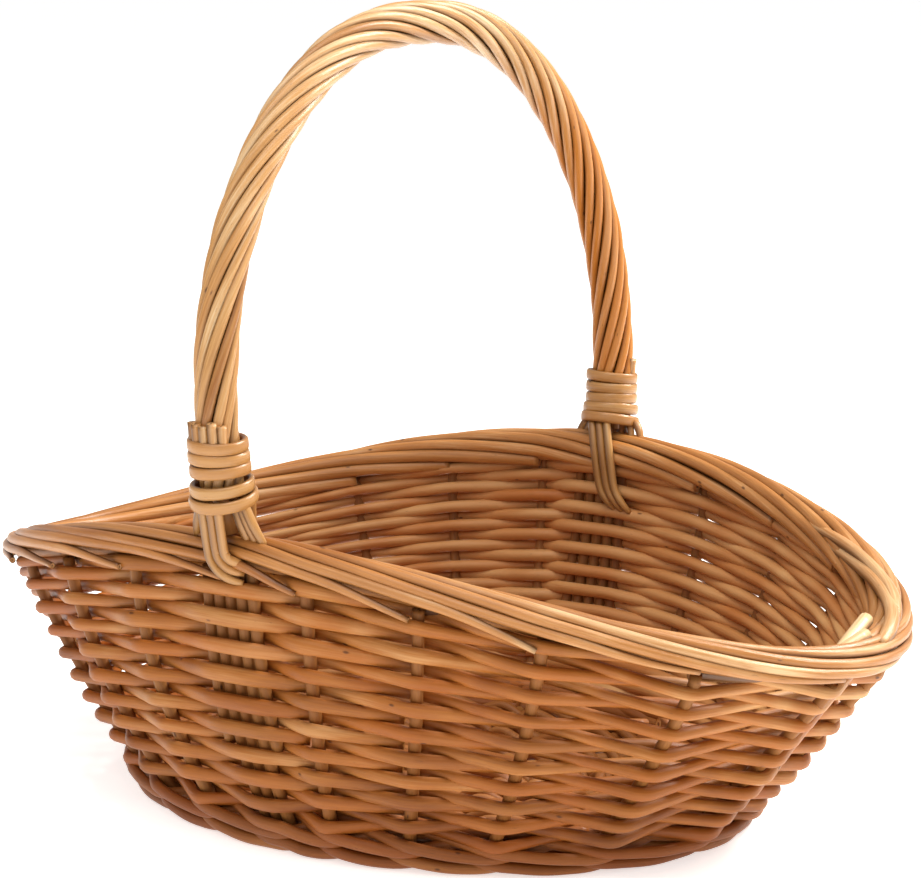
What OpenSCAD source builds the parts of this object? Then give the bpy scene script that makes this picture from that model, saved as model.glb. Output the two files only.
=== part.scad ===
// Oval willow basket with a saddle-shaped border and a roped bow handle.
// Every rod is its own solid: sticks, stakes, weavers, border rods, rope strands.
// Origin: middle of the base on the ground. X runs along the basket, Y across it,
// and the bow handle stands over the middle, from the front side to the back side.

/* [Basket] */
// Length over the border
basket_length = 443; // [400:1:480]
// Width over the border
basket_width = 303; // [280:1:330]
// Height of the border's middle line beside the handle
rim_height = 132; // [115:1:150]
// How much lower the border is at each end
rim_dip = 43; // [25:0.5:50]
// Length of the base between the stakes of the two ends
base_length = 287; // [265:1:305]
// Width of the base between the stakes of the two sides
base_width = 218; // [200:1:230]
// How far the long sides belly out
side_belly = 7; // [0:0.5:10]

/* [Rods] */
// Diameter of a side stake
stake_d = 5.6; // [5:0.1:6.2]
// Thickness of a weaver through the wall
weaver_d = 4.8; // [4:0.1:5.4]
// Diameter of a stick in the base
stick_d = 6; // [5.8:0.1:7.5]
// Width of a rod woven into the base
base_rod_w = 5.2; // [4:0.1:5.4]
// Height of a rod woven into the base
base_rod_h = 5.2; // [4:0.1:6]
// Distance between two ovals of the base weave
base_pitch = 5.5; // [5.5:0.1:5.8]
// Play left between rods that lie on each other
play = 0.3; // [0.15:0.05:0.4]

/* [Border] */
// Height and width of the rolled border
border_d = 20.4; // [20.2:0.1:23]
// Diameter of a border rod
border_rod_d = 5.6; // [4.6:0.1:5.6]

/* [Handle] */
// Height of the bow's middle line at its top
bow_height = 340; // [300:1:380]
// Diameter of the bow rod inside the rope
bow_d = 9.4; // [8.4:0.1:10]
// Diameter of one strand of the rope
strand_d = 4.2; // [3.6:0.1:4.2]
// Length in which a strand goes once round the bow
strand_lay = 130; // [120:1:180]
// How far the legs swell past the border's width
leg_swell = 13; // [8:0.5:16]
// How far the top of the bow leans to the left end
bow_lean = 9; // [0:0.5:12]
// Diameter of the rods that hold each foot
foot_rod_d = 3.7; // [3:0.1:3.7]

/* [Binding] */
// Height of one turn of the binding
turn_h = 4.8; // [4:0.1:5.6]
// Thickness of the binding cane
turn_w = 2.6; // [2:0.1:3.4]
// Gap in the front binding above its two lowest turns
turn_gap = 2; // [0:0.1:3]
// Height of the front binding above the border
binding_lift_front = 12; // [4:0.5:16]
// Height of the back binding above the border
binding_lift_back = 2.5; // [2:0.5:16]
// Diameter of the cut ends above the binding
stub_d = 3.6; // [3:0.1:3.8]
// Height of the cut ends above the binding
stub_h = 9.5; // [5:0.5:12]

/* [Hidden] */
weave_rows = 19;
twist_loss = 1.9; // power with which a turning wall lowers the rows
upsett_rows = 2;
strands = 10;
turns = 5;
span = 5; // a border rod passes this many stakes
step = 0.5; // stations along the border, in stakes

$fn = 32;
buff = [0.80, 0.60, 0.37];
honey = [0.74, 0.51, 0.28];
pale = [0.88, 0.72, 0.48];

// Stakes lie at these angles from the handle's foot towards an end
angles_right = [9.5, 23, 37.5, 57, 80.5];
angles_left = [16, 31, 47, 64, 81];
quarter = len(angles_right);
half = 2 * quarter + 1;
stake_count = 2 * half;
half_turn = concat([0], angles_right, [for (i = [quarter - 1:-1:0]) 180 - angles_left[i]]);
stations = concat(half_turn, [for (a = half_turn) a + 180]);

stake_r = stake_d / 2;
weaver_r = weaver_d / 2;
lean = 36; // steepest angle at which a weaver crosses the wall
rod_gap = stake_r / cos(lean) + weaver_r + play / 2; // from a stake's middle to a weaver's middle

// Heights in the base: ovals below, sticks, ovals above
stick_z = base_rod_h + play / 2 + stick_d / 2;
upper_z = stick_z + stick_d / 2 + play / 2;

// Border: rods on a circle round a core
border_r = border_d / 2;
border_rod_r = border_rod_d / 2;
border_ring_r = border_r - border_rod_r;
border_core_r = border_ring_r - border_rod_r - play;
wall_drop = 8; // the weave aims this far below the border's middle line
border_phase = 118; // a border rod runs from here inside, over the top, to here outside

rim_a = basket_length / 2 - border_r;
rim_b = basket_width / 2 - border_r;
base_a = base_length / 2;
base_b = base_width / 2;

// Bands of weave share the wall between these heights, as parts of a stake's length
weave_lo = -0.03;
weave_hi = 1.005;
end_loss = 0.04; // at the two ends the weave stops this share lower
bands = weave_rows + upsett_rows;

// Liners stand side by side under each handle foot, the outer two only in the upper wall
liner_d = 5.4;
liner_pitch = 5.7;
liner_shift = -2.5; // both groups stand this far to the left of the middle
liners = 5;
short_liner_row = 7; // the outer two start behind this row

// Rope and bow
strand_r = strand_d / 2;
rope_ring_r = bow_d / 2 + strand_r + 2 * play;
rope_r = rope_ring_r + strand_r;
bow_power = 2.43; // roundness of the arch, 2 is an ellipse
border_top = rim_height + border_r;
foot_cover = 4.5; // the strands stop this far up inside the binding, the foot rods go on
foot_seat = 2.2; // the strands' slanted ends need this much room above the foot rods
foot_r = foot_rod_d / 2;
foot_pitch = 4.1;
foot_room = 0.5;
seat_r = border_r + foot_r + play + foot_room; // foot rods pass the border at this distance
flare = 1.6; // extra radius of the lowest turn

// ---- small helpers -------------------------------------------------------

function mix(a, b, k) = a + (b - a) * k;
function unit(v) = v / norm(v);
function signed_pow(c, n) = sign(c) * pow(abs(c), 2 / n);

// Direction along a path at point i
function heading(path, i, closed = false) =
    let (n = len(path))
    closed ? unit(path[(i + 1) % n] - path[(i + n - 1) % n])
           : unit(path[min(i + 1, n - 1)] - path[max(i - 1, 0)]);

// One section of a rod: an ellipse with half axes ru and rv, ru towards ref
function section(p, t, ref, ru, rv, sides) =
    let (u = unit(ref - t * (ref * t)), v = cross(t, u))
    [for (k = [0:sides - 1]) p + u * ru * cos(360 * k / sides) + v * rv * sin(360 * k / sides)];

// Skins sections into one closed solid
module skin(rings, closed = false) {
    n = len(rings);
    m = len(rings[0]);
    joints = closed ? n : n - 1;
    sides = [for (i = [0:joints - 1], k = [0:m - 1])
        let (a = i * m + k, b = i * m + (k + 1) % m, j = ((i + 1) % n) * m)
        each [[a, j + k, j + (k + 1) % m], [a, j + (k + 1) % m, b]]];
    ends = closed ? [] : [[for (k = [0:m - 1]) k], [for (k = [m - 1:-1:0]) (n - 1) * m + k]];
    polyhedron(points = [for (r = rings) each r], faces = concat(sides, ends), convexity = 8);
}

// A round rod along a path
module rod(path, refs, r, sides = 6, closed = false)
    skin([for (i = [0:len(path) - 1])
        section(path[i], heading(path, i, closed), refs[i], r, r, sides)], closed);

// ---- shape of the wall and the border -------------------------------------

// Angle round the basket at stake number u, which may lie between two stakes
function angle_at(u) =
    let (w = u - stake_count * floor(u / stake_count), i = floor(w), n = i + 1)
    mix(stations[i], n < stake_count ? stations[n] : 360, w - i);

function rim_z(a) = rim_height - rim_dip * pow(abs(sin(a)), 1.8);
function rim_point(a) = [rim_a * sin(a), -rim_b * cos(a), rim_z(a)];
function base_point(a) = [base_a * sin(a), -base_b * cos(a), stick_z];
function wall_top(a) = rim_point(a) - [0, 0, wall_drop];

// Middle line of the wall at angle a, from the base at 0 to the border at 1
function wall_point(a, s) =
    let (p = base_point(a), q = wall_top(a), out = unit([q[0] - p[0], q[1] - p[1], 0]),
         rise = q[2] - p[2], run = norm([q[0] - p[0], q[1] - p[1]]),
         down_out = unit(out * rise - [0, 0, run]))
    mix(p, q, s) + down_out * side_belly * pow(cos(a), 2) * 4 * s * (1 - s);

function wall_around(a, s) = unit(wall_point(a + 0.5, s) - wall_point(a - 0.5, s));
// Share of the wall's height that lies below j bands of weave at angle a
function share(j, a) = mix(weave_lo, weave_hi - end_loss * pow(sin(a), 4), j / bands);
function band_point(j, a) = wall_point(a, share(j, a));
function band_around(j, a) = unit(band_point(j, a + 0.5) - band_point(j, a - 0.5));
function wall_up(a, s) = unit(wall_point(a, s + 0.01) - wall_point(a, s - 0.01));
function wall_normal(a, s) = unit(cross(wall_around(a, s), wall_up(a, s)));
function wall_offset(a, s, off) = wall_point(a, s) + wall_normal(a, s) * off;

// Angle at which the wall has this x, near a handle foot (turn is 0 in front, 180 behind)
function angle_for_x(x, s, turn = 0) = turn + asin(x / mix(base_a, rim_a, s));

// Height of the wall's middle line that belongs to a height z under a handle foot
function share_for_z(z) = (z - stick_z) / (wall_top(0)[2] - stick_z);

// ---- base -----------------------------------------------------------------

long_pitch = stick_d + play;
slath_y = 15; // the cross sticks fan out from here
slope_x = 8; // length in which a long stick comes down from the cross sticks
slope_room = 0.41; // from the foot of that slope to the smallest upper oval
ring_room = 1.2; // from the outer long sticks to the smallest oval, at least
edge_room = 4.5; // from the widest oval to the stakes
nest = 0.92; // share of their thickness at which two six-sided rods lie side by side
stick_shift = stick_d / 2 + stake_r + 3.5 * play; // a stick ends beside its stake, at least
stake_in = 34; // length of a stake pushed into the base
ring_out = base_b - stake_r - play - base_rod_w / 2 - edge_room; // half width of the widest oval
ring_in = 1.5 * long_pitch + stick_d / 2 + base_rod_w / 2 + ring_room; // and of the smallest
base_rings = 1 + floor((ring_out - ring_in) / base_pitch);
function ring_b(k) = ring_out - k * base_pitch;
function ring_a(k) = ring_b(k) + base_a - base_b;
last_upper = 2 * floor((base_rings - 1) / 2); // the smallest oval of the upper layer
function ring_power(k) = 2 + 1.3 * pow(k / (base_rings - 1), 2); // the inner ones are squarer

// How far out along the basket oval k is still clear of what reaches y across it
function clear_x(k, y) =
    let (w = base_rod_w / 2, n = ring_power(k))
    (ring_a(k) - w) * pow(1 - pow(y / (ring_b(k) - w), n), 1 / n);

slath_end = clear_x(last_upper, 1.5 * long_pitch + stick_d / 2 + play) - slope_x - slope_room;
slath_x = 0.3 * slath_end; // distance of the cross sticks where they pass under the long sticks
stick_out = 0.96; // sticks end at this share of the base

// Outer end of the stick that comes from the point start to stake i. It ends so far beside the
// stake that it also passes the stake's inner end.
function stick_end(i, start) =
    let (a = stations[i], p = base_point(a), along = wall_around(a, 0),
         side = sign(cross(p, start)[2]),
         end = [p[0] * stick_out, p[1] * stick_out, stick_z], run = end - start,
         inner = p - unit([p[0], p[1], 0]) * stake_in - start,
         beside = -side * cross(run, inner)[2] / norm(run),
         reach = run * inner / (run * run),
         passing = ((stick_d / 2 + stake_r) * nest + play / 3 - beside) / reach)
    end + [along[0], along[1], 0] * side * max(stick_shift, passing);

// Cross stick k joins stake k in front with the stake across, from left to right
function cross_front(k) = (k + stake_count) % stake_count;
function cross_back(k) = half - k;
function cross_path(k) =
    let (m = slath_x * k, near = [m, -slath_y, stick_z], far = [m, slath_y, stick_z])
    [stick_end(cross_front(k), near), near, far, stick_end(cross_back(k), far)];

// Long stick k of four lies over the cross sticks in the middle and fans out at both ends
long_right = [4, 5, 6, 7];
long_left = [18, 17, 16, 15];
function long_path(k) =
    let (y = (k - 1.5) * long_pitch, up = stick_z + long_pitch, x = slath_end,
         left = [-x - slope_x, y, stick_z], right = [x + slope_x, y, stick_z])
    [stick_end(long_left[k], left), left, [-x, y, up], [x, y, up], right,
     stick_end(long_right[k], right)];

module stick(path) rod(path, [for (p = path) [0, 0, 1]], stick_d / 2);

module base_cross_sticks() color(honey) for (k = [-3:3]) stick(cross_path(k));

module base_long_sticks() color(honey) for (k = [0:3]) stick(long_path(k));

function oval(a, b, power, n = 32) =
    [for (i = [0:n - 1]) [a * signed_pow(sin(360 * i / n), power),
                          -b * signed_pow(cos(360 * i / n), power)]];

// One oval of the base weave, k counted from the outside
module base_ring(k, z) {
    a = ring_a(k);
    b = ring_b(k);
    w = base_rod_w / 2;
    power = ring_power(k);
    translate([0, 0, z]) linear_extrude(base_rod_h) difference() {
        polygon(oval(a + w, b + w, power));
        polygon(oval(a - w, b - w, power));
    }
}

module base_weave_upper() color(buff) for (k = [0:2:base_rings - 1]) base_ring(k, upper_z);
module base_weave_lower() color(buff) for (k = [1:2:base_rings - 1]) base_ring(k, 0);

// ---- wall -------------------------------------------------------------------

// A stake lies in the base beside its stick, then follows the wall up to the border
stake_shares = [0, 0.2, 0.4, 0.6, 0.8, 0.96];
function stake_top(a) = rim_point(a) - [0, 0, border_core_r + 2 * play];
function stake_path(i) =
    let (a = stations[i], p = base_point(a), inward = -unit([p[0], p[1], 0]))
    concat([p + inward * stake_in], [for (s = stake_shares) wall_point(a, s)], [stake_top(a)]);

module stake(i) {
    path = stake_path(i);
    rod(path, [for (p = path) wall_around(stations[i], 0.5)], stake_r);
}

module stakes_of(first) color(honey) for (i = [first:first + quarter - 1]) stake(i);

function side_shift(turn) = turn == 0 ? liner_shift : -liner_shift;

module liner(k, turn) {
    from = abs(k) == (liners - 1) / 2 ? share(upsett_rows + short_liner_row - 0.9, 0) : 0.02;
    x = side_shift(turn) + k * liner_pitch;
    wall = [for (j = [0:5]) let (s = mix(from, 0.96, j / 5))
        wall_point(angle_for_x(x, s, turn), s)];
    path = concat(wall, [stake_top(angle_for_x(x, 1, turn))]);
    rod(path, [for (p = path) [1, 0, 0]], liner_d / 2);
}

module handle_liners(turn) color(honey)
    for (k = [-(liners - 1) / 2:(liners - 1) / 2]) liner(k, turn);

// Stations of the row in the middle of band j: one at each stake and two at each group of liners
function row_angles(j) =
    let (s = share(j, 0), w = (j > upsett_rows + short_liner_row - 1 ? 2 : 1) * liner_pitch)
    [for (i = [0:stake_count - 1])
        each (i % half > 0 ? [[stations[i], i]]
            : [for (e = [-w, w]) [angle_for_x(side_shift(i) + e, s, stations[i]), i]])];

// Height that one band leaves for a row that crosses the wall from angle a to angle b;
// the row twists as the wall turns, which takes a little of it
function band_height(j, a, b) =
    let (up = band_point(j + 0.5, a) - band_point(j - 0.5, a)
            + band_point(j + 0.5, b) - band_point(j - 0.5, b),
         across = band_point(j, b) - band_point(j, a),
         turned = wall_normal(a, share(j, a)) * wall_normal(b, share(j, b)))
    norm(cross(up / 2, unit(across))) * pow(turned, twist_loss);

// Sections of a row: as high as the lower of its two neighbouring spans allows
function row_rings(j, side) =
    let (list = row_angles(j), n = len(list))
    [for (i = [0:n - 1])
        let (a = list[i][0], s = share(j, a), out = wall_normal(a, s),
             low = min(band_height(j, list[(i + n - 1) % n][0], a),
                       band_height(j, a, list[(i + 1) % n][0])))
        section(band_point(j, a) + out * side(list[i][1]) * rod_gap, band_around(j, a), out,
            weaver_r, (low - play) / 2 / cos(30), 6)];

module weave_row(j) color(j % 3 == 0 ? buff : j % 3 == 1 ? pale : honey)
    skin(row_rings(upsett_rows + j - 0.5, function(i) (i + j) % 2 == 0 ? 1 : -1), closed = true);

module upsett_row(j) color(buff)
    skin(row_rings(j - 0.5, function(i) 1), closed = true);

// ---- border -----------------------------------------------------------------

// Point beside the border's middle line: phase 0 is on top, positive phases lie outside
function border_point(u, r, phase) =
    let (a = angle_at(u), g = unit(rim_point(a + 0.5) - rim_point(a - 0.5)),
         out = unit(cross(g, [0, 0, 1])), up = cross(out, g))
    rim_point(a) + (out * sin(phase) + up * cos(phase)) * r;

module border_core() color(honey) {
    path = [for (u = [0:step:stake_count - step]) rim_point(angle_at(u))];
    rod(path, [for (p = path) [0, 0, 1]], border_core_r, closed = true);
}

// A border rod starts inside at stake i and crosses over the top to the outside
module border_rod(i) {
    phases = [for (k = [0:step:span]) [i + k, mix(-border_phase, border_phase, k / span)]];
    path = [for (q = phases) border_point(q[0], border_ring_r, q[1])];
    middle = [for (q = phases) border_point(q[0], 0, 0)];
    rod(path, path - middle, border_rod_r);
}

module border_rods(first, count) color(pale) for (i = [first:first + count - 1]) border_rod(i);

// ---- bow and rope -------------------------------------------------------------

// Point of the bow's middle line, t from 0 at the front foot to 180 at the back foot
function bow_point(t) =
    let (m = signed_pow(sin(t), bow_power), k = leg_swell / rim_b)
    [-bow_lean * m, -rim_b * signed_pow(cos(t), bow_power) * (1 + 4 * k * m * (1 - m)),
     mix(rim_height, bow_height, m)];

// Angle t at which the bow passes the height z, on the front leg
function bow_angle(z) = asin(pow((z - rim_height) / (bow_height - rim_height), bow_power / 2));

// Table of [length along the bow, t] from height z0 in front to height z1 behind
function bow_table(z0, z1, n = 90) =
    let (t0 = bow_angle(z0), t1 = 180 - bow_angle(z1), ts = [for (i = [0:n]) mix(t0, t1, i / n)])
    [for (i = 0, l = 0; i <= n;
        l = l + (i < n ? norm(bow_point(ts[i + 1]) - bow_point(ts[i])) : 0), i = i + 1) [l, ts[i]]];

// n + 1 points of the bow's middle line at equal distances
function bow_path(z0, z1, n) =
    let (table = bow_table(z0, z1), total = table[len(table) - 1][0])
    [for (i = [0:n]) bow_point(lookup(total * i / n, table))];

function path_length(path, i = 1) =
    i == len(path) ? 0 : norm(path[i] - path[i - 1]) + path_length(path, i + 1);

module bow_rod() color(honey) {
    path = bow_path(border_top + play, border_top + play, 24);
    rod(path, [for (p = path) [1, 0, 0]], bow_d / 2, 8);
}

module rope_strand(j) color(j % 2 == 0 ? pale : buff) {
    z0 = border_top + binding_lift_front + foot_cover;
    z1 = border_top + binding_lift_back + foot_cover;
    total = path_length(bow_path(z0, z1, 90));
    count = ceil(total / strand_lay * 8);
    middle = bow_path(z0, z1, count);
    arms = [for (i = [0:count])
        let (t = heading(middle, i), turn = 360 * (total * i / count / strand_lay + j / strands),
             u = unit([1, 0, 0] - t * t[0]), v = cross(t, u))
        u * cos(turn) + v * sin(turn)];
    rod(middle + arms * rope_ring_r, arms, strand_r);
}

// ---- binding and foot rods ------------------------------------------------------

// Moves its children onto the front leg at height z, leaning with the leg
module on_leg(z) {
    t = bow_angle(z);
    d = bow_point(t + 0.3) - bow_point(t - 0.3);
    translate(bow_point(t)) rotate([atan2(-d[1], d[2]), 0, 0]) children();
}

// One turn: a flat cane with round edges
module turn_ring(inner) rotate_extrude() translate([inner + turn_w / 2, 0]) {
    square([turn_w, turn_h - turn_w], center = true);
    for (s = [-1, 1]) translate([0, s * (turn_h - turn_w) / 2]) circle(d = turn_w);
}

function turn_z(i, lift, gap) =
    border_top + lift + turn_h * (i + 0.5) + i * play + (i > 1 ? gap : 0);
function turn_inner(i) = rope_r + play + flare * max(0, 2 - i) / 2;

module binding(lift, gap) color(pale)
    for (i = [0:turns - 1]) on_leg(turn_z(i, lift, gap)) turn_ring(turn_inner(i));

// Foot rods leave the rope, pass the border and turn into the wall; face is 1 outside, -1 inside
bend_r = 5;
bend_z = rim_height - border_r - foot_r;
wall_gap = rod_gap + weaver_r + foot_r + 2 * play;

function foot_path(x, face, lift) =
    let (start = bow_point(bow_angle(border_top + lift + foot_cover - foot_seat)),
         over = [for (phase = [48, 70, 92, 112])
             [x, -rim_b - face * seat_r * sin(phase), rim_height + seat_r * cos(phase)]],
         r = bend_r + foot_pitch - x, c = [x + r, bend_z],
         bend = [for (w = [0, 28, 56, 82]) c + r * [-cos(w), -sin(w)]])
    concat([[x, start[1] - face * rope_ring_r, start[2]]], over,
        [for (q = bend) let (s = share_for_z(q[1])) wall_offset(angle_for_x(q[0], s), s, face * wall_gap)]);

module foot_rods(face, lift) color(pale) mirror([face < 0 ? 1 : 0, 0, 0])
    for (k = [-1:1]) let (path = foot_path(k * foot_pitch, face, lift))
        rod(path, [for (p = path) [1, 0, 0]], foot_r);

// Cut ends of rope strands stand on the binding; where is a list of angles round the leg
module cut_ends(where, lift, gap) color(pale)
    for (w = where) on_leg(turn_z(turns - 1, lift, gap) + turn_h / 2)
        rotate([0, 0, w]) translate([rope_r + play + stub_d / 2, 0, play])
            cylinder(d = stub_d, h = stub_h * (1 - 0.2 * abs(sin(3 * w))));

// The same piece at the back foot: turned round, or as in a mirror
module behind() rotate([0, 0, 180]) children();
module mirrored() mirror([0, 1, 0]) children();

// ---- the whole basket -----------------------------------------------------------

base_long_sticks();
base_cross_sticks();
base_weave_upper();
base_weave_lower();
stakes_of(1);  // stakes_front_right
stakes_of(1 + quarter);  // stakes_back_right
stakes_of(1 + half);  // stakes_back_left
stakes_of(1 + half + quarter);  // stakes_front_left
handle_liners(0);  // handle_liners_front
handle_liners(180);  // handle_liners_back
for (j = [1:upsett_rows]) upsett_row(j);
for (j = [1:weave_rows]) weave_row(j);
border_core();
border_rods(0, quarter + 1);  // border_rods_front_right
border_rods(quarter + 1, quarter);  // border_rods_back_right
border_rods(half, quarter + 1);  // border_rods_back_left
border_rods(half + quarter + 1, quarter);  // border_rods_front_left
bow_rod();
for (j = [1:strands]) rope_strand(j);
binding(binding_lift_front, turn_gap);  // binding_front
mirrored() binding(binding_lift_back, 0);  // binding_back
foot_rods(1, binding_lift_front);  // foot_rods_front_outer
foot_rods(-1, binding_lift_front);  // foot_rods_front_inner
behind() foot_rods(1, binding_lift_back);  // foot_rods_back_outer
behind() foot_rods(-1, binding_lift_back);  // foot_rods_back_inner
cut_ends([245, 265, 285, 305, 325], binding_lift_front, turn_gap);  // cut_ends_front
mirrored() cut_ends([345], binding_lift_back, 0);  // cut_ends_back
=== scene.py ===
import math
import random

import bmesh
import bpy
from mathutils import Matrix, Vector, noise


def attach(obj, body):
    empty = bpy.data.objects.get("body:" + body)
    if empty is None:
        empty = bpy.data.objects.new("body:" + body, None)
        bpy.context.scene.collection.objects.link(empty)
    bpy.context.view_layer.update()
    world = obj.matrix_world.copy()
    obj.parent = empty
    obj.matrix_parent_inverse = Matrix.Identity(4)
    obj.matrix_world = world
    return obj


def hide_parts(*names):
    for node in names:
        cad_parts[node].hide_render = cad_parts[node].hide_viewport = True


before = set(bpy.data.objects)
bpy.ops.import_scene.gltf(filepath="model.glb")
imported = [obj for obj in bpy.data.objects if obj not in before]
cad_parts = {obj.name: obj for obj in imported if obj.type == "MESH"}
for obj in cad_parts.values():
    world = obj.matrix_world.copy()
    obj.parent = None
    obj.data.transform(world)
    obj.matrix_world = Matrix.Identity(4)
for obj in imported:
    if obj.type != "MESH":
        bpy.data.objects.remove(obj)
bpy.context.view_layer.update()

noise.seed_set(1)  # noise_vector is then the same in each run

# Oval willow basket: every rod is laid along its own path, in millimetres,
# and turned into metres when its mesh is made. Angle 0 is the front foot of
# the handle, 90 the right end, 180 the back foot, 270 the left end.

mm = 0.001
up = Vector((0, 0, 1))
lengthways = Vector((1, 0, 0))
angleStep, shareStep = 0.5, 0.01  # for directions round the wall and up it

basket = {
    "length": 443, "width": 303, "rimHeight": 132, "rimDip": 43, "dipPower": 1.8,
    "baseLength": 287, "baseWidth": 218, "belly": 7,
    "stakeAngles": [0, 9.5, 23, 37.5, 57, 80.5, 99, 116, 133, 149, 164,
                    180, 189.5, 203, 217.5, 237, 260.5, 279, 296, 313, 329, 344],
    "borderRadius": 10.2, "coreRadius": 4.3, "wallDrop": 8, "stickHeight": 8.35,
    "bands": 21, "lowShare": -0.03, "topShare": 1.005, "endLoss": 0.04, "turnLoss": 1.9,
    "upsettRows": 2, "stakeGap": 6.01, "play": 0.3,
}
stakeAngles = basket["stakeAngles"]
stakeCount = len(stakeAngles)
halfCount = stakeCount // 2
rimA = basket["length"] / 2 - basket["borderRadius"]
rimB = basket["width"] / 2 - basket["borderRadius"]
baseA, baseB = basket["baseLength"] / 2, basket["baseWidth"] / 2
stickZ = basket["stickHeight"]
borderTop = basket["rimHeight"] + basket["borderRadius"]


def sinDeg(a):
    return math.sin(math.radians(a))


def cosDeg(a):
    return math.cos(math.radians(a))


def mix(a, b, k):
    return a + (b - a) * k


def signedPower(c, n):
    return math.copysign(abs(c) ** (2 / n), c)


def smooth(low, high, value):
    t = min(1, max(0, (value - low) / (high - low)))
    return t * t * (3 - 2 * t)


# the wall, as it is in the frame: a is the angle round it, s runs from 0 at the
# base to 1 under the border, and a band is the height of one row

def rimPoint(a):
    drop = basket["rimDip"] * abs(sinDeg(a)) ** basket["dipPower"]
    return Vector((rimA * sinDeg(a), -rimB * cosDeg(a), basket["rimHeight"] - drop))


def basePoint(a):
    return Vector((baseA * sinDeg(a), -baseB * cosDeg(a), stickZ))


def wallPoint(a, s):
    low, top = basePoint(a), rimPoint(a) - up * basket["wallDrop"]
    level = Vector((top.x - low.x, top.y - low.y, 0))
    out, run, rise = level.normalized(), level.length, top.z - low.z
    downOut = (out * rise - up * run).normalized()
    return low.lerp(top, s) + downOut * basket["belly"] * cosDeg(a) ** 2 * 4 * s * (1 - s)


def wallAround(a, s):
    return (wallPoint(a + angleStep, s) - wallPoint(a - angleStep, s)).normalized()


def wallNormal(a, s):
    rise = (wallPoint(a, s + shareStep) - wallPoint(a, s - shareStep)).normalized()
    return wallAround(a, s).cross(rise).normalized()


def share(band, a):
    top = basket["topShare"] - basket["endLoss"] * sinDeg(a) ** 4
    return mix(basket["lowShare"], top, band / basket["bands"])


def bandPoint(band, a):
    return wallPoint(a, share(band, a))


def bandHeight(band, a, b):
    # height of a row from a to b, less where the wall turns between them
    rise = bandPoint(band + 0.5, a) - bandPoint(band - 0.5, a)
    rise += bandPoint(band + 0.5, b) - bandPoint(band - 0.5, b)
    across = (bandPoint(band, b) - bandPoint(band, a)).normalized()
    turned = wallNormal(a, share(band, a)).dot(wallNormal(b, share(band, b)))
    return (rise / 2).cross(across).length * turned ** basket["turnLoss"]


def angleAt(u):
    # the angle of stake number u, or of a place between two stakes
    turns, u = divmod(u, stakeCount)
    i = int(u)
    after = stakeAngles[i + 1] if i + 1 < stakeCount else 360
    return mix(stakeAngles[i], after, u - i) + 360 * turns


def angleForX(x, s, turn=0):
    return turn + math.degrees(math.asin(x / mix(baseA, rimA, s)))


# a stop of a rod is a place, a direction for its section, and its half sizes

cornerShare = 0.48  # the most of a straight that one rounded corner takes


def stop(p, ref, wide, high=None):
    return [p, ref, Vector((wide, wide if high is None else high, 0))]


def blendStops(a, b, k):
    return [x.lerp(y, k) for x, y in zip(a, b)]


def bendPath(stops, bend, gap, closed=False, steps=5):
    # rounds the corner at each stop and adds points on the straights
    count = len(stops)
    corners = range(count) if closed else range(1, count - 1)
    rounded = [] if closed else [stops[0]]
    for i in corners:
        before, here, after = stops[i - 1], stops[i], stops[(i + 1) % count]
        cutBefore = min(bend / (before[0] - here[0]).length, cornerShare)
        cutAfter = min(bend / (after[0] - here[0]).length, cornerShare)
        start, end = blendStops(here, before, cutBefore), blendStops(here, after, cutAfter)
        for k in range(steps + 1):
            t = k / steps
            rounded.append(blendStops(blendStops(start, here, t), blendStops(here, end, t), t))
    rounded.append(rounded[0] if closed else stops[-1])
    path = [rounded[0]]
    for after in rounded[1:]:
        last = path[-1]
        parts = max(1, math.ceil((after[0] - last[0]).length / gap))
        path += [blendStops(last, after, k / parts) for k in range(1, parts + 1)]
    if closed:
        path.pop()
    return path


def addObject(name, data):
    made = bpy.data.objects.new(name, data)
    bpy.context.scene.collection.objects.link(made)
    return made


def ringEdges(ring):
    return {e for vert in ring for e in vert.link_edges
            if e.verts[0] in ring and e.verts[1] in ring}


rodLook = {
    "shadeSpread": 0.5, "swell": 0.05, "swellPace": 0.06, "wanderPace": 0.022, "stillEnd": 3,
    "driftRange": 90, "driftStep": 7.3, "patternStep": 977.0, "patternRange": 500,
    # a small chamfer, pale wood and a darker pith: width, depth and mark of each
    "cutEnd": ((0.16, 0.2, -1.0), (0.42, 0, -1.0), (0.2, -0.18, 0.5)),
}


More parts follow.
